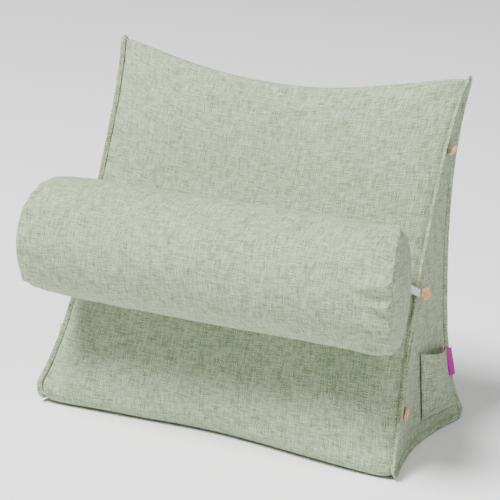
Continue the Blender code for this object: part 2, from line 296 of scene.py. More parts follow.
# %% Weave node group
def make_weave_group():
    """From cloth coordinates to a thread tone, 0 dark to 1 pale, and a height."""
    group = bpy.data.node_groups.new("Plain weave", "ShaderNodeTree")
    group.interface.new_socket("Vector", in_out="INPUT", socket_type="NodeSocketVector")
    group.interface.new_socket("Pitch", in_out="INPUT", socket_type="NodeSocketFloat")
    group.interface.new_socket("Slub length", in_out="INPUT", socket_type="NodeSocketFloat")
    group.interface.new_socket("Tone", in_out="OUTPUT", socket_type="NodeSocketFloat")
    group.interface.new_socket("Height", in_out="OUTPUT", socket_type="NodeSocketFloat")
    add, join = new_nodes(group)
    inputs = add("NodeGroupInput").outputs
    outputs = add("NodeGroupOutput").inputs

    wander = add("ShaderNodeTexNoise", noise_dimensions="3D", inputs={"Scale": 45.0, "Detail": 1.0})
    join(inputs["Vector"], wander.inputs["Vector"])
    shift = add("ShaderNodeVectorMath", operation="MULTIPLY_ADD")
    join(wander.outputs["Color"], shift.inputs[0])
    shift.inputs[1].default_value = (0.0025, 0.0025, 0.0)
    join(inputs["Vector"], shift.inputs[2])
    parts = add("ShaderNodeSeparateXYZ")
    join(shift.outputs[0], parts.inputs[0])

    threads = {}
    for name, across, along in (("warp", "X", "Y"), ("weft", "Y", "X")):
        count = math_node(add, join, "DIVIDE", parts.outputs[across], inputs["Pitch"])
        index = math_node(add, join, "FLOOR", count)
        place = math_node(add, join, "FRACT", count)
        dome = math_node(add, join, "SINE", math_node(add, join, "MULTIPLY", place, math.pi))
        run = math_node(add, join, "DIVIDE", parts.outputs[along], inputs["Slub length"])
        point = add("ShaderNodeCombineXYZ")
        join(math_node(add, join, "MULTIPLY", index, 7.31), point.inputs[0])
        join(run, point.inputs[1])
        point.inputs[2].default_value = 3.0 if name == "warp" else 11.0
        slub = add("ShaderNodeTexNoise", noise_dimensions="3D", inputs={"Scale": 1.0, "Detail": 2.0})
        join(point.outputs[0], slub.inputs["Vector"])
        threads[name] = (index, dome, slub.outputs["Fac"])

    parity = math_node(add, join, "MODULO", math_node(
        add, join, "ABSOLUTE", math_node(add, join, "ADD", threads["warp"][0], threads["weft"][0])), 2.0)
    over = math_node(add, join, "GREATER_THAN", parity, 0.5)

    def pick(first, second):
        node = add("ShaderNodeMix", data_type="FLOAT")
        join(over, node.inputs["Factor"])
        join(first, node.inputs["A"])
        join(second, node.inputs["B"])
        return node.outputs["Result"]

    tone = pick(threads["warp"][2], threads["weft"][2])
    spread = add("ShaderNodeMapRange", inputs={"From Min": 0.30, "From Max": 0.70})
    join(tone, spread.inputs["Value"])
    join(spread.outputs["Result"], outputs["Tone"])
    product = math_node(add, join, "MULTIPLY", threads["warp"][1], threads["weft"][1])
    lifted = pick(threads["warp"][1], threads["weft"][1])
    height = math_node(add, join, "MULTIPLY", math_node(add, join, "ADD", product, lifted), 0.5)
    join(height, outputs["Height"])
    return group


weave_group = make_weave_group()


# %% Cloth material
def make_cloth(name, pale, deep, pitch=0.0013, slub=0.013, contrast=1.0, bump_height=0.00025, sheen=0.12):
    """Plain-woven cloth between a pale and a deep thread colour, with painted shade in the hollows between
    threads.
    """
    material, shader = new_material(name)
    add, join = new_nodes(material.node_tree)
    cloth = add("ShaderNodeUVMap", uv_map="weave")
    weave = add("ShaderNodeGroup", node_tree=weave_group)
    join(cloth.outputs["UV"], weave.inputs["Vector"])
    weave.inputs["Pitch"].default_value = pitch
    weave.inputs["Slub length"].default_value = slub

    wide = add("ShaderNodeTexNoise", noise_dimensions="3D", inputs={"Scale": 14.0, "Detail": 3.0})
    join(cloth.outputs["UV"], wide.inputs["Vector"])
    tone = math_node(add, join, "MULTIPLY_ADD", weave.outputs["Tone"], contrast)
    offset = math_node(add, join, "MULTIPLY", wide.outputs["Fac"], 0.06)
    tone.node.inputs[2].default_value = (1 - contrast) / 2 - 0.03
    tone = math_node(add, join, "ADD", tone, offset)
    # Painted shade: where the weave's height is low, in the hollows between threads, the colour is darkened
    # down to half.
    thread_gap_shade = add("ShaderNodeMapRange",
              inputs={"From Min": 0.0, "From Max": 0.55, "To Min": 0.50, "To Max": 1.0})
    join(weave.outputs["Height"], thread_gap_shade.inputs["Value"])

    colour = add("ShaderNodeMix", data_type="RGBA")
    join(tone, colour.inputs["Factor"])
    colour.inputs["A"].default_value = (*deep, 1.0)
    colour.inputs["B"].default_value = (*pale, 1.0)
    shaded = add("ShaderNodeMix", data_type="RGBA", blend_type="MULTIPLY", inputs={"Factor": 1.0})
    join(colour.outputs["Result"], shaded.inputs["A"])
    join(thread_gap_shade.outputs["Result"], shaded.inputs["B"])
    join(shaded.outputs["Result"], shader.inputs["Base Color"])

    relief = add("ShaderNodeBump", inputs={"Strength": 0.7, "Distance": bump_height})
    join(weave.outputs["Height"], relief.inputs["Height"])
    join(relief.outputs["Normal"], shader.inputs["Normal"])
    shader.inputs["Roughness"].default_value = 0.93
    shader.inputs["Specular IOR Level"].default_value = 0.22
    shader.inputs["Sheen Weight"].default_value = sheen
    shader.inputs["Sheen Roughness"].default_value = 0.55
    return material


PALE_THREAD = (0.55, 0.62, 0.45)
GREEN_THREAD = (0.13, 0.20, 0.085)
wedge_cloth = make_cloth("wedge_cloth", PALE_THREAD, GREEN_THREAD)
roll_cloth = make_cloth("roll_cloth", PALE_THREAD, GREEN_THREAD)
flange_cloth = make_cloth("flange_cloth", PALE_THREAD, GREEN_THREAD)
pocket_cloth = make_cloth("pocket_cloth", PALE_THREAD, GREEN_THREAD)
tape_weave = make_cloth("tape_weave", (0.90, 0.90, 0.94), (0.66, 0.65, 0.76), 0.0005, 0.006, 0.5, 0.0001)
label_weave = make_cloth("label_weave", (0.62, 0.03, 0.42), (0.36, 0.01, 0.27),
                         0.0005, 0.02, 0.6, 0.0001, 0.3)
print("cloths:", len(bpy.data.materials))


# %% [markdown]
# ## Filling the cloth
# A filled cushion takes its shape from cloth that is pressed outwards and held at its seams. The
# simulation starts from the pattern's shape with slightly too much cloth, so it wrinkles where it is held.

# %% Cloth simulation
def fill_cloth(piece, held, slack, pressure, frames, cap):
    """Press the mesh outwards as cloth, holding points by their weight; no point moves past the cap."""
    mesh = piece.data
    count = len(mesh.vertices)
    start = np.empty(count * 3, np.float32)
    mesh.vertices.foreach_get("co", start)
    start = start.reshape(-1, 3)
    group = piece.vertex_groups.new(name="held")
    spare = piece.vertex_groups.new(name="spare")
    for index in range(count):
        group.add([index], held[index], "REPLACE")
        spare.add([index], slack[index], "REPLACE")
    cloth = piece.modifiers.new("Cloth", "CLOTH")
    settings = cloth.settings
    settings.quality = 5
    settings.mass = 0.25
    settings.tension_stiffness = 20.0
    settings.compression_stiffness = 20.0
    settings.shear_stiffness = 8.0
    settings.bending_stiffness = 0.35
    settings.air_damping = 3.0
    settings.vertex_group_mass = "held"
    settings.vertex_group_shrink = "spare"
    settings.shrink_min = 0.0
    settings.shrink_max = -0.06
    settings.use_pressure = True
    settings.uniform_pressure_force = pressure
    settings.effector_weights.gravity = 0.0
    cloth.point_cache.frame_start = 1
    cloth.point_cache.frame_end = frames
    scene = bpy.context.scene
    for number in range(1, frames + 1):
        scene.frame_set(number)
    settled = np.empty(count * 3, np.float32)
    shown = piece.evaluated_get(bpy.context.evaluated_depsgraph_get())
    shown.data.vertices.foreach_get("co", settled)
    settled = settled.reshape(-1, 3)
    scene.frame_set(1)
    piece.modifiers.remove(cloth)
    piece.vertex_groups.clear()
    move = settled - start
    length = np.linalg.norm(move, axis=1, keepdims=True)
    move *= np.minimum(1.0, cap / np.maximum(length, 1e-9))
    return start, move


def set_points(piece, points):
    piece.data.vertices.foreach_set("co", np.asarray(points, np.float32).ravel())
    piece.data.update()


print("simulation runs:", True)


# %% [markdown]
# ## The wedge
# One main panel wraps front, top, back and bottom. A triangular gusset closes each end, and the
# filling draws the seams in between the corners, which stand out as ears.

# %% Side outline of the wedge
SIDE_STEPS = {"bottom": 34, "back": 56, "front": 74}
ARC_STEPS = 7


def corner_circles(u):
    """Centre y, centre z and radius of the side outline's three rounded corners at width u."""
    side = 1 if u >= 0 else -1
    near_seam = abs(u) ** 4
    lift = SEAM_LIFT[side] * max(0.0, (abs(u) - 0.9) / 0.1) ** 2
    front_r = blend(FRONT_RADIUS, FRONT_EAR_RADIUS[side], near_seam)
    back_r = blend(BACK_RADIUS, BACK_EAR_RADIUS, near_seam)
    top_r = blend(TOP_RADIUS, TOP_EAR_RADIUS, near_seam)
    top_z = HEIGHT - TOP_SAG * (1 - u * u) ** 1.35
    top_y = blend(TOP_MIDDLE_Y, TOP_EAR_Y, abs(u) ** 3)
    front_y = blend(FRONT_MIDDLE_Y, FRONT_EAR_Y[side], u * u * (3 - 2 * abs(u)))
    back_y = blend(DEPTH - BACK_RADIUS, BACK_EAR_Y, u * u)
    return {
        "front": (FRONT_Y + front_y, front_r + lift, front_r),
        "back": (FRONT_Y + back_y, back_r + lift, back_r),
        "top": (FRONT_Y + top_y, top_z - top_r, top_r),
    }


def side_crown(side, t, u):
    """How far a panel stands out from the straight line between two corners."""
    fullness = (1 - abs(u) ** 8) ** 0.75
    if side == "front":
        swell = (4 * t * (1 - t)) ** 0.75
        seam = FRONT_SEAM_CROWN * swell - FRONT_SEAM_HOLLOW * (t - t ** 8)
        return blend(seam, FRONT_CROWN * swell, fullness)
    if side == "back":
        fullness = (1 - abs(u) ** 4) ** 0.7
        draw = math.sin(math.pi * t ** 1.3) ** 1.6 if 0 < t < 1 else 0.0
        return blend(BACK_SEAM_DRAW, BACK_CROWN, fullness) * draw
    return 0.0


def side_half_width(side, start, end, t, hand):
    """Half the width along a side of the outline: waisted, with an ear at each end."""
    away = abs(2 * t - 1)
    ear = EAR_HALF_WIDTH[start if t < 0.5 else end][hand]
    if side == "bottom":
        return blend(BASE_HALF_WIDTH[hand], ear, away ** 1.8)
    sharpness = 2.2 if side == "front" and t > 0.5 else 4.5
    return blend(WAIST_HALF_WIDTH[hand], ear, away ** sharpness)


def press_of_roll(y, z):
    """Keep the slope clear of the roll that is pressed into it."""
    away = Vector((y - ROLL_Y, z - ROLL_Z))
    reach = ROLL_RADIUS + PRESS_GAP
    if away.length < reach:
        away = away.normalized() * reach
    return ROLL_Y + away.x, ROLL_Z + away.y


def outline(u):
    """The closed side outline at width u: rows of half width, y, z, outward normal and side."""
    hand = 1 if u >= 0 else -1
    circles = corner_circles(u)
    order = [("bottom", "front", "back"), ("back", "back", "top"), ("front", "top", "front")]
    normals = []
    for _, start, end in order:
        y0, z0, r0 = circles[start]
        y1, z1, r1 = circles[end]
        along = Vector((y1 - y0, z1 - z0))
        lean = (r0 - r1) / along.length
        along.normalize()
        outward = Vector((along.y, -along.x))
        normals.append(along * lean + outward * math.sqrt(1 - lean * lean))
    rows = []
    for index, (side, start, end) in enumerate(order):
        normal = normals[index]
        y0, z0, r0 = circles[start]
        y1, z1, r1 = circles[end]
        first = Vector((y0, z0)) + normal * r0
        last = Vector((y1, z1)) + normal * r1
        for step in range(SIDE_STEPS[side]):
            t = step / SIDE_STEPS[side]
            point = first.lerp(last, t) + normal * side_crown(side, t, u)
            y, z = press_of_roll(point.x, point.y)
            rows.append((side_half_width(side, start, end, t, hand), y, z, normal, side))
        turn_start = math.atan2(normal.y, normal.x)
        following = normals[(index + 1) % len(normals)]
        turn = (math.atan2(following.y, following.x) - turn_start) % math.tau
        ear = EAR_HALF_WIDTH[end][hand]
        for step in range(ARC_STEPS):
            angle = turn_start + turn * step / ARC_STEPS
            facing = Vector((math.cos(angle), math.sin(angle)))
            rows.append((ear, y1 + r1 * facing.x, z1 + r1 * facing.y, facing, end))
    return rows


print("points round the wedge:", len(outline(0.0)))

# %% [markdown]
# The mesh has close rows beside the seams, where the cloth rolls into the seam and gathers, and wider
# ones in the middle. Near a seam the needle pulls the cloth into short uneven gathers.

# %% Wedge mesh
EDGE_STATIONS = [1.0, 0.994, 0.987, 0.978, 0.967, 0.954]
MIDDLE_STATIONS = 52
FLAT_HALF_WIDTH = 0.21
GUSSET_CENTRE = Vector((FRONT_Y + 0.088, 0.138))
GUSSET_SCALES = [0.985, 0.965, 0.94, 0.90, 0.84, 0.76, 0.67, 0.57, 0.46, 0.35, 0.23, 0.11]


def wedge_stations():
    inner = EDGE_STATIONS[-1]
    middle = [inner - 2 * inner * k / MIDDLE_STATIONS for k in range(1, MIDDLE_STATIONS)]
    return EDGE_STATIONS + middle + [-u for u in reversed(EDGE_STATIONS)]


def gathers(run, distance, reach, seed):
    """Uneven folds that start at a seam; run is metres along it and distance is metres from it."""
    wave = noise.noise(Vector((run * 62.0, seed, distance * 9.0)))
    wave += 0.5 * noise.noise(Vector((run * 130.0, seed + 5.0, distance * 20.0)))
    return wave * bump(distance - reach * 0.25, reach)


def wedge_shape():
    """Points, faces and cloth coordinates of the whole wedge, with what holds each point."""
    stations = wedge_stations()
    outlines = [outline(u) for u in stations]
    around = len(outlines[0])
    middle = outlines[len(stations) // 2]
    run = [0.0]
    for first, second in zip(middle, middle[1:] + middle[:1]):
        run.append(run[-1] + math.hypot(second[1] - first[1], second[2] - first[2]))
    verts, held, slack = [], [], []
    for u, rows in zip(stations, outlines):
        for step, (half, y, z, normal, side) in enumerate(rows):
            distance = (1 - abs(u)) * half
            fold = 0.0011 * gathers(run[step], distance, 0.016, 2.0 if u > 0 else 7.0)
            soft = 0.0012 * noise.noise(Vector((u * 2.6, run[step] * 11.0, 4.0)))
            valley = -0.0028 * bump(distance - 0.0012, 0.0026)
            shift = 0.0 if side == "bottom" else fold + soft * (1 - abs(u) ** 6) + valley
            y, z = press_of_roll(y + normal.x * shift, z + normal.y * shift)
            verts.append(Vector((u * half, y, max(0.0, z))))
            held.append(1.0 if abs(u) > 0.999 or side == "bottom" else 0.0)
            slack.append(0.10 + 0.5 * bump(distance, 0.03))
    faces, uvs = [], []
    for station in range(len(stations) - 1):
        for step in range(around):
            after = (step + 1) % around
            corners = [(station, step), (station, after), (station + 1, after), (station + 1, step)]
            faces.append([a * around + b for a, b in corners])
            uvs += [(stations[a] * FLAT_HALF_WIDTH, run[step + 1] if b == after else run[step])
                    for a, b in corners]
    for side in (1, -1):
        first_row = 0 if side > 0 else (len(stations) - 1) * around
        rows = outlines[0] if side > 0 else outlines[-1]
        rings = [[first_row + step for step in range(around)]]
        for scale in GUSSET_SCALES:
            ring = []
            for step, (half, y, z, normal, _) in enumerate(rows):
                middle_x = WAIST_HALF_WIDTH[side] + GUSSET_CROWN[side]
                sharpness = 1 + 0.7 * (y - FRONT_Y) / DEPTH + 5 * z / HEIGHT
                spot = GUSSET_CENTRE.lerp(Vector((y, z)), scale)
                distance = (Vector((y, z)) - spot).length
                fold = 0.0012 * gathers(run[step], distance, 0.014, 12.0 + side)
                soft = 0.0010 * noise.noise(Vector((spot.x * 16.0, spot.y * 16.0, 9.0 + side)))
                x = blend(middle_x, half, scale ** sharpness) + (fold + soft) * (1 - scale ** 20)
                x -= 0.0012 * bump(distance, 0.003) * (1 - bump(distance, 0.0008))
                ring.append(len(verts))
                verts.append(Vector((side * x, spot.x, spot.y)))
                held.append(0.0)
                slack.append(0.10 + 0.5 * bump(distance, 0.025))
            rings.append(ring)
        centre = len(verts)
        verts.append(Vector((side * (WAIST_HALF_WIDTH[side] + GUSSET_CROWN[side]), *GUSSET_CENTRE)))
        held.append(0.0)
        slack.append(0.1)
        cap = fan_faces(rings[-1], centre)
        for outer, inner in zip(rings, rings[1:]):
            cap += ring_faces(outer, inner)
        faces += cap
        uvs += [(verts[index].y, verts[index].z) for face in cap for index in face]
    return verts, faces, uvs, held, slack


GUSSET_SHARE = 0.15


def settle_wedge(piece, held, slack):
    start, move = fill_cloth(piece, held, slack, pressure=1.2, frames=16, cap=0.0045)
    panel = len(wedge_stations()) * len(outline(0.0))
    move[panel:] *= GUSSET_SHARE
    points = start + move
    for point in points:
        point[1], point[2] = press_of_roll(point[1], point[2])
        point[2] = max(0.0, point[2])
    set_points(piece, points)


def make_wedge():
    verts, faces, uvs, held, slack = wedge_shape()
    piece = new_piece("wedge", verts, faces, uvs, wedge_cloth)
    volume = face_out(piece)
    settle_wedge(piece, held, slack)
    smooth = piece.modifiers.new("Smooth", "SUBSURF")
    smooth.levels = 1
    smooth.render_levels = 1
    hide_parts("wedge_cushion")
    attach(piece, "root")
    print("wedge:", len(verts), "points,", round(volume * 1000, 2), "litres")
    return piece


wedge = make_wedge()

# %% [markdown]
# ## The neck roll
# A wrapped panel with a round end sewn into each side. The end seams are eased in, so the panel
# gathers there, most of all at the right end. The simulation rounds the cloth, and the gathers are laid
# on it afterwards, with a given depth.

# %% Roll mesh
ROLL_AROUND = 150
END_SHARES = [0.16, 0.32, 0.47, 0.61, 0.73, 0.83, 0.90, 0.95, 0.98, 1.0]
BODY_INWARD = [0.0012, 0.0028, 0.005, 0.008, 0.012, 0.017, 0.023, 0.030]
BODY_MIDDLE = 62
SKEW_REACH = 0.155


def roll_end_x(side, radius_share, angle):
    """Where a roll's end seam lies: further out at the front, where the angle is pi."""
    return side * (ROLL_SEAM_X[side] - ROLL_END_SKEW[side] * math.cos(angle) * radius_share)


def roll_point(side, inward, angle):
    """A point of the panel at a distance inward from an end's seam, before folds."""
    shoulder = 1 - math.exp(-inward / 0.005)
    radius = blend(ROLL_SEAM_RADIUS, ROLL_RADIUS, shoulder)
    skew_left = max(0.0, 1 - inward / SKEW_REACH) ** 2
    x = roll_end_x(side, skew_left, angle) - side * inward
    return x, radius


def roll_rings():
    """Rings from the right end to the left one: kind, side and its place."""
    right = [("end", 1, share) for share in END_SHARES] + [("body", 1, inward) for inward in BODY_INWARD]
    left = [("body", -1, inward) for inward in reversed(BODY_INWARD)]
    left += [("end", -1, share) for share in reversed(END_SHARES)]
    middle = [("middle", 0, k / BODY_MIDDLE) for k in range(1, BODY_MIDDLE)]
    return right + middle + left


def tucks(run, distance, reach, seed):
    """Sharp valleys between round ridges, deepest at a gathered seam."""
    wave = abs(noise.noise(Vector((run * 46.0, seed, distance * 12.0)))) * 2.4
    wave += abs(noise.noise(Vector((run * 90.0, seed + 5.0, distance * 20.0)))) * 0.9
    return (wave - 1.0) * bump(distance - reach * 0.25, reach) * min(1.0, distance / 0.003)


def roll_end_point(side, share, angle):
    """A point of a round end, domed by the filling, and how loose its cloth is."""
    edge = ROLL_SEAM_RADIUS * (1 - share)
    x = roll_end_x(side, share, angle) + side * ROLL_END_CROWN * (1 - share ** 2.6)
    x -= side * 0.0020 * bump(edge - 0.0018, 0.0018)
    return x, ROLL_SEAM_RADIUS * share, 0.1 + 0.3 * bump(edge, 0.02)


def roll_body_point(kind, side, value, angle):
    """A point of the wrapped panel, with its gathers, and how loose its cloth is."""
    if kind == "middle":
        right_x, _ = roll_point(1, BODY_INWARD[-1], angle)
        left_x, _ = roll_point(-1, BODY_INWARD[-1], angle)
        x, radius = blend(right_x, left_x, value), ROLL_RADIUS
        distance = BODY_INWARD[-1] + min(value, 1 - value) * (right_x - left_x)
    else:
        x, radius = roll_point(side, value, angle)
        distance = value
    end = 1 if x > 0 else -1
    radius += 0.0004 * end * gathers(angle * ROLL_RADIUS, distance, 0.020, 30.0 + end)
    radius += 0.0009 * noise.noise(Vector((x * 13.0, math.cos(angle) * 1.6, math.sin(angle) * 1.6)))
    return x, radius, 0.08 + 0.9 * bump(distance, 0.028)


GATHER_DEPTH = {-1: 0.0036, 1: 0.0058}
END_GATHER_DEPTH = 0.0026
SEAM_DEPTH = 0.0030
SEAM_BAND = 0.0018


def roll_crease(kind, side, value, angle, place):
    """How far a gathered fold lifts a point after the cloth has settled."""
    run = angle * ROLL_RADIUS
    if kind == "end":
        edge = ROLL_SEAM_RADIUS * (1 - value)
        dip = side * END_GATHER_DEPTH * tucks(run, edge, 0.012, 20.0 + side)
        outward = Vector((0, math.cos(angle), math.sin(angle)))
        return Vector((dip, 0, 0)) - outward * SEAM_DEPTH * bump(edge, SEAM_BAND)
    end = 1 if place.x > 0 else -1
    distance = value
    if kind == "middle":
        distance = BODY_INWARD[-1] + abs(place.x - roll_point(end, BODY_INWARD[-1], angle)[0])
    depth = GATHER_DEPTH[end] * tucks(run, distance, 0.026, 30.0 + end)
    depth -= SEAM_DEPTH * bump(distance, SEAM_BAND)
    return Vector((0, math.cos(angle), math.sin(angle))) * depth


def roll_creases(verts):
    lifts = [roll_crease(*ring, math.tau * step / ROLL_AROUND, verts[number * ROLL_AROUND + step])
             for number, ring in enumerate(roll_rings()) for step in range(ROLL_AROUND)]
    return np.array(lifts + [Vector((0, 0, 0))] * (len(verts) - len(lifts)))


def roll_shape():
    rings = roll_rings()
    verts, held, slack = [], [], []
    for kind, side, value in rings:
        for step in range(ROLL_AROUND):
            angle = math.tau * step / ROLL_AROUND
            if kind == "end":
                x, radius, loose = roll_end_point(side, value, angle)
            else:
                x, radius, loose = roll_body_point(kind, side, value, angle)
            verts.append(Vector((x, ROLL_Y + radius * math.cos(angle), ROLL_Z + radius * math.sin(angle))))
            held.append(1.0 if kind == "end" and value > 0.999 else 0.0)
            slack.append(loose)
    faces, uvs = [], []
    numbers = [[ring * ROLL_AROUND + step for step in range(ROLL_AROUND)] for ring in range(len(rings))]
    for ring in range(len(rings) - 1):
        made = ring_faces(numbers[ring], numbers[ring + 1])
        faces += made
        if rings[ring][0] == "end" and rings[ring + 1][0] == "end":
            uvs += [(verts[index].y, verts[index].z) for face in made for index in face]
            continue
        for step, face in enumerate(made):
            turns = (step, step, step + 1, step + 1)
            uvs += [(verts[index].x, turn / ROLL_AROUND * math.tau * ROLL_RADIUS)
                    for index, turn in zip(face, turns)]
    for side, ring in ((1, numbers[0]), (-1, numbers[-1])):
        centre = len(verts)
        verts.append(Vector((side * (ROLL_SEAM_X[side] + ROLL_END_CROWN), ROLL_Y, ROLL_Z)))
        held.append(0.0)
        slack.append(0.1)
        cap = fan_faces(ring, centre)
        faces += cap
        uvs += [(verts[index].y, verts[index].z) for face in cap for index in face]
    return verts, faces, uvs, held, slack


def make_roll():
    verts, faces, uvs, held, slack = roll_shape()
    piece = new_piece("roll", verts, faces, uvs, roll_cloth)
    volume = face_out(piece)
    settled = np.array(verts)
    start, move = fill_cloth(piece, held, slack, pressure=1.2, frames=16, cap=0.0030)
    settled = start + move
    set_points(piece, settled + roll_creases(verts))
    smooth = piece.modifiers.new("Smooth", "SUBSURF")
    smooth.levels = 1
    smooth.render_levels = 1
    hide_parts("neck_roll")
    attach(piece, "root")
    print("roll:", len(verts), "points,", round(volume * 1000, 2), "litres")
    return piece


roll = make_roll()

# %% [markdown]
# ## The seam edges
# The panel and the gusset are sewn wrong sides together all round, so the trimmed seam allowance
# stands up as a narrow, slightly wavy edge of two cloths.

# %% Seam flanges
def flange_direction(side, normal, run):
    """Outwards from the seam, leaning a little to and fro along it."""
    sideways = 0.7 + 0.8 * max(0.0, -normal.x) + 0.25 * noise.noise(Vector((run * 45.0, side, 3.0)))
    return Vector((side * sideways, normal.x, normal.y)).normalized()


FLANGE_TUCK = 0.0016


def make_flange(name, side, node):
    rows = outline(float(side))
    around = len(rows)
    run = [0.0]
    for first, second in zip(rows, rows[1:] + rows[:1]):
        run.append(run[-1] + math.hypot(second[1] - first[1], second[2] - first[2]))
    columns = 3
    verts = []
    for step, (half, y, z, normal, _) in enumerate(rows):
        outward = flange_direction(side, normal, run[step])
        width = FLANGE_WIDTH * (1 + 0.22 * noise.noise(Vector((run[step] * 80.0, side, 8.0))))
        seam = Vector((side * half, y, z))
        for column in range(columns + 1):
            spot = seam + outward * blend(-FLANGE_TUCK, FLANGE_ROOT_GAP + width, column / columns)
            verts.append(Vector((spot.x, spot.y, max(0.0012, spot.z))))
    faces, uvs = [], []
    for step in range(around):
        after = (step + 1) % around
        for column in range(columns):
            corners = [(step, column), (step, column + 1), (after, column + 1), (after, column)]
            faces.append([a * (columns + 1) + b for a, b in corners])
            for place, (a, b) in enumerate(corners):
                uvs.append((run[step + 1] if place > 1 else run[step], b * width / columns))
    piece = new_piece(name, verts, faces, uvs, flange_cloth)
    thicken(piece, 0.0017)
    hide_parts(node)
    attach(piece, "root")
    return piece


flanges = {side: make_flange(f"seam_edge_{name}", side, f"seam_flange_{name}")
           for side, name in ((-1, "left"), (1, "right"))}
print("seam edges:", len(flanges))

# %% [markdown]
# ## The side pocket
# A patch of the same cloth, turned in and topstitched on three sides, with a wider hem at its mouth.

# %% Surface under the trims
def surface_of(piece):
    bpy.context.view_layer.update()
    shown = piece.evaluated_get(bpy.context.evaluated_depsgraph_get())
    mesh = shown.to_mesh()
    points = [v.co.copy() for v in mesh.vertices]
    tree = BVHTree.FromPolygons(points, [list(f.vertices) for f in mesh.polygons])
    shown.to_mesh_clear()
    return tree


wedge_surface = surface_of(wedge)


def on_gusset(side, y, z):
    """The point and outward normal of a gusset at y and z."""
    point, normal, _, _ = wedge_surface.ray_cast(Vector((side * 0.3, y, z)), Vector((-side, 0, 0)))
    if normal.x * side < 0:
        normal = -normal
    return point, normal


# %% Pocket
POCKET_CORNERS = {
    "mouth_front": (0.0975, 0.1020),
    "mouth_back": (0.1680, 0.0860),
    "foot_front": (0.0975, 0.0230),
    "foot_back": (0.1690, 0.0185),
}
POCKET_THICKNESS = 0.0014
POCKET_GAP = 0.0010
POCKET_BULGE = 0.0095
POCKET_FLAT = (0.078, 0.075)
HEM = 0.10


def pocket_place(across, along, rise=0.0):
    """A point of the pocket's cloth; rise lifts it off the cloth's middle."""
    corner = {name: Vector((FRONT_Y + y, z)) for name, (y, z) in POCKET_CORNERS.items()}
    foot = corner["foot_front"].lerp(corner["foot_back"], across)
    mouth = corner["mouth_front"].lerp(corner["mouth_back"], across)
    flat = foot.lerp(mouth, along)
    dip = 0.0022 * math.sin(math.pi * across) * along
    point, _ = on_gusset(1, flat.x, flat.y - dip)
    open_out = math.sin(math.pi * min(max(across, 0.0), 1.0)) ** 0.55 * math.sin(math.pi / 2 * along) ** 0.7
    wave = 0.0008 * noise.noise(Vector((across * 3.0, along * 2.5, 40.0))) * open_out
    groove = -0.0004 * bump(along - (1 - HEM), 0.012)
    edge = min(across, 1 - across, along + 0.02)
    groove -= 0.0004 * bump(edge - 0.045, 0.015)
    lift = POCKET_GAP + POCKET_THICKNESS / 2 + POCKET_BULGE * open_out + wave + groove
    return point + Vector((lift + rise, 0, 0))


def make_pocket():
    piece = sheet_piece("pocket", 46, 40, pocket_place, POCKET_FLAT, pocket_cloth)
    thicken(piece, POCKET_THICKNESS)
    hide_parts("side_pocket")
    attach(piece, "root")
    return piece


make_pocket()
print("pocket on the right gusset")

# %% [markdown]
# Stitches repeat, so Geometry Nodes lays one thread along a line at an even spacing.

# %% Stitches
def stitch_group():
    """Lay a short thread at even steps along a line."""
    group = bpy.data.node_groups.new("Stitch line", "GeometryNodeTree")
    group.interface.new_socket("Geometry", in_out="INPUT", socket_type="NodeSocketGeometry")
    for name in ("Step", "Length", "Radius"):
        group.interface.new_socket(name, in_out="INPUT", socket_type="NodeSocketFloat")
    group.interface.new_socket("Thread", in_out="INPUT", socket_type="NodeSocketMaterial")
    group.interface.new_socket("Geometry", in_out="OUTPUT", socket_type="NodeSocketGeometry")
    add, join = new_nodes(group)
    inputs = add("NodeGroupInput").outputs
    outputs = add("NodeGroupOutput").inputs
    line = add("GeometryNodeMeshToCurve")
    join(inputs["Geometry"], line.inputs["Mesh"])
    steps = add("GeometryNodeResampleCurve", mode="LENGTH")
    join(line.outputs["Curve"], steps.inputs["Curve"])
    join(inputs["Step"], steps.inputs["Length"])
    thread = add("GeometryNodeMeshUVSphere", inputs={"Segments": 8, "Rings": 6})
    join(inputs["Radius"], thread.inputs["Radius"])
    stretch = add("ShaderNodeMath", operation="DIVIDE")
    join(inputs["Length"], stretch.inputs[0])
    join(inputs["Radius"], stretch.inputs[1])
    halved = add("ShaderNodeMath", operation="MULTIPLY")
    join(stretch.outputs[0], halved.inputs[0])
    halved.inputs[1].default_value = 0.5
    size = add("ShaderNodeCombineXYZ", inputs={"X": 1.0, "Y": 1.0})
    join(halved.outputs[0], size.inputs["Z"])
    tangent = add("GeometryNodeInputTangent")
    turn = add("FunctionNodeAlignRotationToVector", axis="Z")
    join(tangent.outputs[0], turn.inputs["Vector"])
    place = add("GeometryNodeInstanceOnPoints")
    join(steps.outputs["Curve"], place.inputs["Points"])
    join(thread.outputs["Mesh"], place.inputs["Instance"])
    join(turn.outputs["Rotation"], place.inputs["Rotation"])
    join(size.outputs[0], place.inputs["Scale"])
    real = add("GeometryNodeRealizeInstances")
    join(place.outputs["Instances"], real.inputs["Geometry"])
    paint = add("GeometryNodeSetMaterial")
    join(real.outputs["Geometry"], paint.inputs["Geometry"])
    join(inputs["Thread"], paint.inputs["Material"])
    join(paint.outputs["Geometry"], outputs["Geometry"])
    return group


stitches = stitch_group()


def make_thread(name, colour):
    """Twisted sewing thread: a fine spiral of light along each stitch."""
    material, shader = new_material(name)
    add, join = new_nodes(material.node_tree)
    place = add("ShaderNodeTexCoord")
    twist = add("ShaderNodeTexWave", wave_type="BANDS", bands_direction="DIAGONAL",
                inputs={"Scale": 900.0, "Distortion": 1.0})
    join(place.outputs["Object"], twist.inputs["Vector"])
    tint = add("ShaderNodeMix", data_type="RGBA")
    join(twist.outputs["Fac"], tint.inputs["Factor"])
    tint.inputs["A"].default_value = (*[value * 0.7 for value in colour], 1.0)
    tint.inputs["B"].default_value = (*colour, 1.0)
    join(tint.outputs["Result"], shader.inputs["Base Color"])
    shader.inputs["Roughness"].default_value = 0.6
    return material


seam_thread = make_thread("seam_thread", (0.74, 0.76, 0.69))
button_thread = make_thread("button_thread", (0.80, 0.78, 0.72))


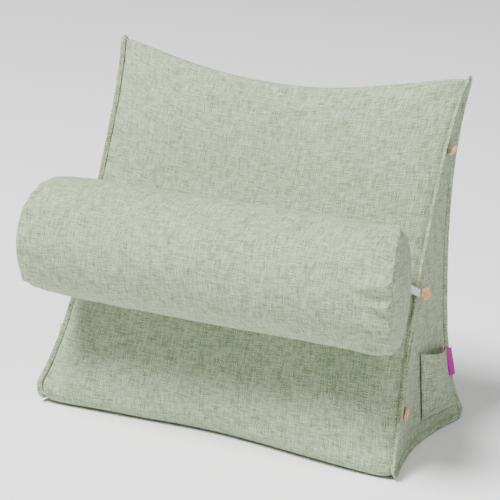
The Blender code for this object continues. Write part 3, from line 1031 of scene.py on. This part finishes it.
def stitch_line(name, points, material, step=0.0034, length=0.0024, radius=0.00030):
    """A line of stitches along the points, as a plain mesh."""
    mesh = bpy.data.meshes.new(name + "_line")
    mesh.from_pydata([tuple(p) for p in points], [(k, k + 1) for k in range(len(points) - 1)], [])
    guide = bpy.data.objects.new(name + "_line", mesh)
    bpy.context.scene.collection.objects.link(guide)
    modifier = guide.modifiers.new("Stitches", "NODES")
    modifier.node_group = stitches
    items = stitches.interface.items_tree
    sockets = {item.name: item.identifier for item in items if item.in_out == "INPUT"}
    modifier[sockets["Step"]] = step
    modifier[sockets["Length"]] = length
    modifier[sockets["Radius"]] = radius
    modifier[sockets["Thread"]] = material
    guide.update_tag()
    bpy.context.view_layer.update()
    shown = guide.evaluated_get(bpy.context.evaluated_depsgraph_get())
    made = bpy.data.meshes.new_from_object(shown)
    made.shade_smooth()
    bpy.data.objects.remove(guide, do_unlink=True)
    piece = bpy.data.objects.new(name, made)
    bpy.context.scene.collection.objects.link(piece)
    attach(piece, "root")
    return piece


def pocket_stitches():
    """Topstitching beside the pocket's three sewn edges, and the line that holds its hem."""
    rise = POCKET_THICKNESS / 2 + 0.0001
    inset = 0.045
    front = [(inset, 1 - k / 30 * (1 - inset)) for k in range(31)]
    foot = [(inset + k / 30 * (1 - 2 * inset), inset) for k in range(1, 31)]
    back = [(1 - inset, inset + k / 30 * (1 - inset)) for k in range(1, 31)]
    outer = [pocket_place(across, along, rise) for across, along in front + foot + back]
    hem = [pocket_place(inset + k / 40 * (1 - 2 * inset), 1 - HEM, rise) for k in range(41)]
    stitch_line("pocket_topstitch", outer, seam_thread)
    stitch_line("pocket_hem_stitch", hem, seam_thread)


pocket_stitches()
print("pocket stitched")

# %% [markdown]
# ## Buttons and tapes
# Each gusset has three turned wooden buttons, sewn on loosely so that they tilt. A white tape from the
# roll's end seam is held under the middle one.

# %% Wood
WOOD_DARK = (0.50, 0.24, 0.11)
WOOD_PALE = (0.82, 0.50, 0.27)


def make_wood():
    """Pale turned wood: fine grain lines, a little uneven in tone."""
    material, shader = new_material("pale_wood_grain")
    add, join = new_nodes(material.node_tree)
    place = add("ShaderNodeTexCoord")
    stretch = add("ShaderNodeMapping", inputs={"Scale": (1.0, 1.0, 0.16), "Rotation": (0.5, 0.0, 0.0)})
    join(place.outputs["Object"], stretch.inputs["Vector"])
    grain = add("ShaderNodeTexNoise", inputs={"Scale": 1500.0, "Detail": 4.0, "Roughness": 0.6})
    join(stretch.outputs["Vector"], grain.inputs["Vector"])
    rings = add("ShaderNodeTexWave", wave_type="BANDS", bands_direction="Y",
                inputs={"Scale": 190.0, "Distortion": 5.0, "Detail": 2.0})
    join(stretch.outputs["Vector"], rings.inputs["Vector"])
    both = math_node(add, join, "MULTIPLY", grain.outputs["Fac"], 0.6)
    both = math_node(add, join, "ADD", both, math_node(add, join, "MULTIPLY", rings.outputs["Fac"], 0.35))
    ramp = add("ShaderNodeValToRGB")
    ramp.color_ramp.elements[0].position = 0.25
    ramp.color_ramp.elements[0].color = (*WOOD_DARK, 1.0)
    ramp.color_ramp.elements[1].position = 0.62
    ramp.color_ramp.elements[1].color = (*WOOD_PALE, 1.0)
    join(both, ramp.inputs["Fac"])
    join(ramp.outputs["Color"], shader.inputs["Base Color"])
    relief = add("ShaderNodeBump", inputs={"Strength": 0.25, "Distance": 0.0001})
    join(grain.outputs["Fac"], relief.inputs["Height"])
    join(relief.outputs["Normal"], shader.inputs["Normal"])
    shader.inputs["Roughness"].default_value = 0.48
    shader.inputs["Coat Weight"].default_value = 0.15
    return material


wood = make_wood()

# %% Buttons
BUTTON_RADIUS = 0.0075
BUTTON_THICKNESS = 0.0040
BUTTON_HOLE_RADIUS = 0.0010
BUTTON_HOLE_PLACE = 0.0018


def button_frame(node):
    """Centre, two axes across and the facing of a packed button, from its own points."""
    points = np.array([v.co for v in node.data.vertices])
    low, high = points.min(axis=0), points.max(axis=0)
    centre = (low + high) / 2
    _, _, axes = np.linalg.svd(points - points.mean(axis=0), full_matrices=False)
    facing = Vector(axes[2])
    if facing.x * centre[0] < 0:
        facing = -facing
    across = Vector((0, 0, 1)).cross(facing).normalized()
    return Vector(centre), across, facing.cross(across), facing


def button_profile():
    """Half section from the middle of the face to the middle of the back, with a rolled rim."""
    half = BUTTON_THICKNESS / 2
    dish = [(0.0, half - 0.0011), (0.0025, half - 0.0011), (0.0040, half - 0.0009), (0.0048, half - 0.0004)]
    rim = [(0.0054, half - 0.0001), (0.0061, half), (0.0068, half - 0.0002), (0.0073, half - 0.0007)]
    side = [(BUTTON_RADIUS, 0.0002), (BUTTON_RADIUS, -0.0004), (0.0072, -0.0012)]
    back = [(0.0064, 0.0003 - half), (0.0052, -half), (0.0028, -half), (0.0, -half)]
    return dish + rim + side + back


def hole_cutter(place, across, facing, centre):
    bm = bmesh.new()
    turned = facing.to_track_quat("Z", "Y").to_matrix().to_4x4()
    spot = Matrix.Translation(centre + across * place) @ turned
    bmesh.ops.create_cone(bm, cap_ends=True, segments=20, radius1=BUTTON_HOLE_RADIUS,
                          radius2=BUTTON_HOLE_RADIUS, depth=BUTTON_THICKNESS * 2, matrix=spot)
    mesh = bpy.data.meshes.new("hole")
    bm.to_mesh(mesh)
    bm.free()
    cutter = bpy.data.objects.new("hole", mesh)
    bpy.context.scene.collection.objects.link(cutter)
    return cutter


def turned_button(name, centre, across, up, facing):
    """The profile turned in 48 steps, with two holes cut through."""
    profile = button_profile()
    steps = 48
    verts, rings = [], []
    for radius, height in profile[1:-1]:
        ring = []
        for step in range(steps):
            angle = math.tau * step / steps
            ring.append(len(verts))
            outward = across * math.cos(angle) + up * math.sin(angle)
            verts.append(centre + outward * radius + facing * height)
        rings.append(ring)
    faces = []
    for outer, inner in zip(rings, rings[1:]):
        faces += ring_faces(outer, inner)
    for ring, (_, height) in ((rings[0], profile[0]), (rings[-1], profile[-1])):
        verts.append(centre + facing * height)
        faces += fan_faces(ring, len(verts) - 1)
    uvs = [(0.0, 0.0)] * sum(len(face) for face in faces)
    piece = new_piece(name, verts, faces, uvs, wood)
    face_out(piece)
    cutters = [hole_cutter(side * BUTTON_HOLE_PLACE, across, facing, centre) for side in (-1, 1)]
    for cutter in cutters:
        cut = piece.modifiers.new("Hole", "BOOLEAN")
        cut.operation = "DIFFERENCE"
        cut.solver = "EXACT"
        cut.object = cutter
    bpy.context.view_layer.update()
    shown = piece.evaluated_get(bpy.context.evaluated_depsgraph_get())
    made = bpy.data.meshes.new_from_object(shown)
    piece.modifiers.clear()
    piece.data = made
    made.set_sharp_from_angle(angle=math.radians(40))
    for cutter in cutters:
        bpy.data.objects.remove(cutter, do_unlink=True)
    return piece


def thread_through(name, centre, across, facing, back):
    """Sewing thread across the two holes and down behind the button, as a thin tube."""
    rise = BUTTON_THICKNESS / 2 - 0.0006
    low = -BUTTON_THICKNESS / 2 - back
    table = [(-1.0, low), (-1.0, rise - 0.0006), (-0.6, rise + 0.0002), (0.0, rise + 0.0004),
             (0.6, rise + 0.0002), (1.0, rise - 0.0006), (1.0, low)]
    data = bpy.data.curves.new(name, "CURVE")
    data.dimensions = "3D"
    data.bevel_depth = 0.00032
    data.bevel_resolution = 2
    data.resolution_u = 4
    data.use_fill_caps = True
    spline = data.splines.new("NURBS")
    spline.points.add(len(table) - 1)
    spline.use_endpoint_u = True
    spline.order_u = 3
    for point, (place, height) in zip(spline.points, table):
        spot = centre + across * (place * BUTTON_HOLE_PLACE) + facing * height
        point.co = (*spot, 1.0)
    curve = bpy.data.objects.new(name + "_curve", data)
    bpy.context.scene.collection.objects.link(curve)
    bpy.context.view_layer.update()
    made = bpy.data.meshes.new_from_object(curve.evaluated_get(bpy.context.evaluated_depsgraph_get()))
    bpy.data.objects.remove(curve, do_unlink=True)
    made.materials.clear()
    made.materials.append(button_thread)
    made.shade_smooth()
    piece = bpy.data.objects.new(name, made)
    bpy.context.scene.collection.objects.link(piece)
    return piece


def make_buttons():
    made = 0
    for name in sorted(node for node in nodes if node.startswith("button_")):
        centre, across, up, facing = button_frame(nodes[name])
        short = name.replace("button_", "")
        button = turned_button("wood_button_" + short, centre, across, up, facing)
        side = 1 if centre.x > 0 else -1
        under, _ = on_gusset(side, centre.y, centre.z)
        back = abs(centre.x - under.x) * 0.5
        thread = thread_through("button_thread_" + short, centre, across, facing, back)
        for piece in (button, thread):
            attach(piece, "root")
        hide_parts(name)
        made += 1
    return made


print("buttons:", make_buttons())

# %% Tapes
TAPE_WIDTH = 0.0085
TAPE_THICKNESS = 0.0007
TAPE_ANGLE = math.radians(-15)
CLEAR = 0.0009
MIDDLE_BUTTON = {-1: (0.0915, 0.1760), 1: (0.0915, 0.1740)}


def tape_route(side):
    """From the back of the roll's end seam, over the flange, to under the middle button."""
    back = Vector((0, math.cos(TAPE_ANGLE), math.sin(TAPE_ANGLE)))
    seam = Vector((roll_end_x(side, 1.0, TAPE_ANGLE), ROLL_Y, ROLL_Z)) + back * ROLL_SEAM_RADIUS
    start = seam + Vector((side * 0.4, 0, 0)) * CLEAR + back * CLEAR * 0.9
    button_y, button_z = MIDDLE_BUTTON[side]
    crossing = button_z + 0.0030
    front = [row for row in outline(float(side)) if row[3].x < -0.85]
    half, y, _, normal, _ = min(front, key=lambda row: abs(row[2] - crossing))
    outward = Vector((side * 1.4, normal.x, normal.y)).normalized()
    over = Vector((side * half, y, crossing)) + outward * (FLANGE_ROOT_GAP + FLANGE_WIDTH + 0.0014)
    under, under_normal = on_gusset(side, FRONT_Y + button_y, button_z)
    down, down_normal = on_gusset(side, FRONT_Y + button_y + 0.0035, button_z - 0.0045)
    return back, [start, over, under + under_normal * 0.0013, down + down_normal * 0.0013]


def make_tape(name, side, node):
    back, route = tape_route(side)

    def place(across, along):
        spread = Vector((0, -back.z, back.y)).lerp(Vector((0, 0.44, 0.9)), min(1.0, 3 * along)).normalized()
        wide = blend(1.05, 0.75, along) * TAPE_WIDTH
        curl = Vector((side * 0.0005 * (2 * across - 1) ** 2, 0, 0))
        return through(route, along) + spread * wide * (0.5 - across) + curl

    length = sum((b - a).length for a, b in zip(route, route[1:]))
    piece = sheet_piece(name, 8, 34, place, (TAPE_WIDTH, length), tape_weave)
    thicken(piece, TAPE_THICKNESS)
    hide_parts(node)
    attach(piece, "root")


make_tape("tape_tab_left", -1, "tape_left")
make_tape("tape_tab_right", 1, "tape_right")
print("tapes: 2")

# %% [markdown]
# ## The tab in the back seam
# A satin ribbon folded once and caught in the seam. It is bare.

# %% Tab
TAB_PATH = [(0.00135, -0.0026), (0.00260, -0.0009), (0.00510, 0.0031), (0.00480, 0.0066)]
TAB_LOW = 0.050
TAB_HIGH = 0.082
TAB_FOLD = 0.0008


def tab_seam(z):
    """The right back seam's point at a height."""
    rows = [row for row in outline(1.0) if row[3].x > 0.9 and row[2] < HEIGHT / 2]
    above = next(index for index, row in enumerate(rows) if row[2] > z)
    low, high = rows[above - 1], rows[above]
    share = (z - low[2]) / (high[2] - low[2])
    return Vector((blend(low[0], high[0], share), blend(low[1], high[1], share), z))


def make_tab():
    path = [Vector((sideways, backwards, 0)) for sideways, backwards in TAB_PATH]

    def place(across, along):
        """Out along the path, round the fold and back beside it."""
        z = blend(TAB_LOW, TAB_HIGH, along)
        out = 1 - abs(2 * across - 1)
        layer = TAB_FOLD / 2 * math.cos(math.pi * across)
        wave = 0.0004 * math.sin(along * 5.0) * out
        return tab_seam(z) + through(path, out) + Vector((layer + wave, 0, 0))

    length = 2 * sum((b - a).length for a, b in zip(path, path[1:]))
    flat = (length, TAB_HIGH - TAB_LOW)
    piece = sheet_piece("seam_tab", 36, 16, place, flat, label_weave)
    thicken(piece, 0.0005)
    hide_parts("side_label")
    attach(piece, "root")


make_tab()
print("tab in the back seam")

# %% [markdown]
# ## Floor
# A pale seamless floor, which isn't part of the object.

# %% Floor
FLOOR_REACH = 9.0
FLOOR_TONES = (0.93, 0.96)


def make_floor():
    material, shader = new_material("studio_floor")
    add, join = new_nodes(material.node_tree)
    mottle = add("ShaderNodeTexNoise", inputs={"Scale": 3.0, "Detail": 2.0})
    tint = add("ShaderNodeMix", data_type="RGBA")
    join(mottle.outputs["Fac"], tint.inputs["Factor"])
    tint.inputs["A"].default_value = (*[FLOOR_TONES[0]] * 3, 1.0)
    tint.inputs["B"].default_value = (*[FLOOR_TONES[1]] * 3, 1.0)
    join(tint.outputs["Result"], shader.inputs["Base Color"])
    shader.inputs["Roughness"].default_value = 0.9
    mesh = bpy.data.meshes.new("floor")
    corners = [(x * FLOOR_REACH, y * FLOOR_REACH, 0) for x, y in ((-1, -1), (1, -1), (1, 1), (-1, 1))]
    mesh.from_pydata(corners, [], [(0, 1, 2, 3)])
    mesh.materials.append(material)
    floor = bpy.data.objects.new("floor", mesh)
    bpy.context.scene.collection.objects.link(floor)


make_floor()
